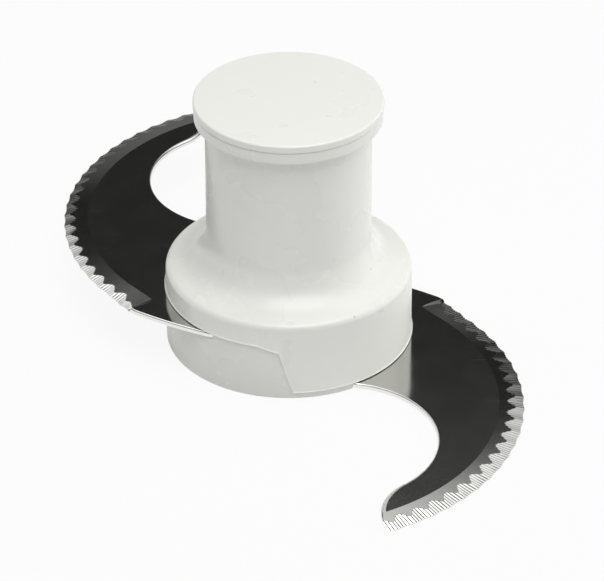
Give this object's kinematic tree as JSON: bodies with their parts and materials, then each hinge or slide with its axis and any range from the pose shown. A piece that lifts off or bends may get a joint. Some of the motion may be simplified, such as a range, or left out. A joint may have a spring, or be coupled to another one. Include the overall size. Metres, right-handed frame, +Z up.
{
  "type": "food processor blade",
  "caption": "Chopping knife for a food processor: opposed sickle blades with a serrated ground edge, at staggered heights round a tall white hub with a flanged top.",
  "frame": {"origin": "on the hub's axis of rotation, in the plane of the hub's foot", "axes": "+Z up the hub's axis of rotation towards the cap, +X the side where the lower blade leaves the hub"},
  "size_m": [0.1128, 0.169, 0.0657],
  "materials": {
    "ivory_hub_plastic": "moulded, soft gloss, warm white",
    "white_socket_plastic": "moulded, satin, white",
    "polished_blade_steel": "mirror polished flats with a ground and serrated bevel"
  },
  "bodies": {
    "root": {"top_cap": "ivory_hub_plastic", "upper_hub": "ivory_hub_plastic", "lower_hub": "ivory_hub_plastic", "upper_blade": "polished_blade_steel", "lower_blade": "polished_blade_steel", "drive_socket": "white_socket_plastic"}
  },
  "joints": []
}
